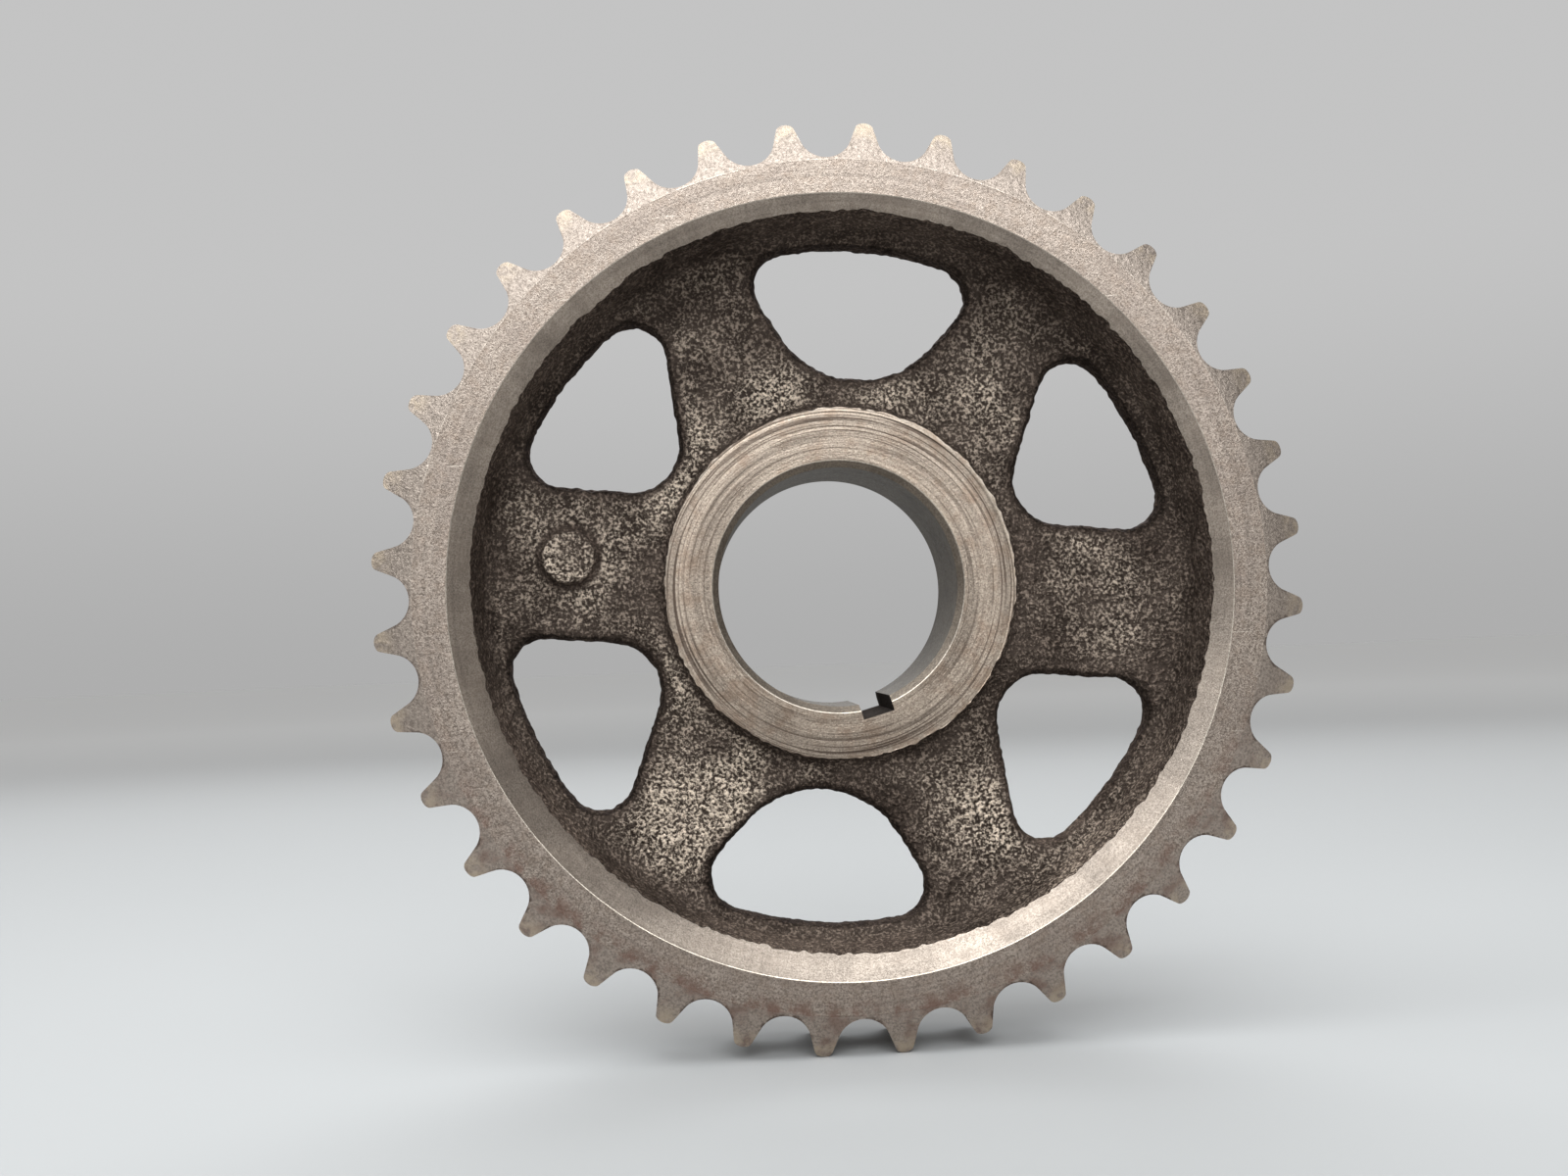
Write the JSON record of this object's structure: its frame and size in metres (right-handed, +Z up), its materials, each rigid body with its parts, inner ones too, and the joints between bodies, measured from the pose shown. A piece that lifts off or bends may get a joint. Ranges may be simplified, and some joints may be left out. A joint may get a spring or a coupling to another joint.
{
  "type": "timing chain sprocket",
  "caption": "Cast iron timing chain sprocket with a keyed bore, a recessed web with windows, and a machined, toothed rim.",
  "frame": {"origin": "middle of the bore, on its axis", "axes": "+Y along the bore's axis from the front face to the rear, +Z up, +X to the right as seen from the front"},
  "size_m": [0.112, 0.026, 0.112],
  "materials": {
    "cast_iron": "dark rough cast skin on the web, rim wall and windows; turned and slightly stained on the rim, the teeth, the hub faces and the bore"
  },
  "bodies": {
    "root": {"sprocket": "cast_iron"}
  },
  "joints": []
}
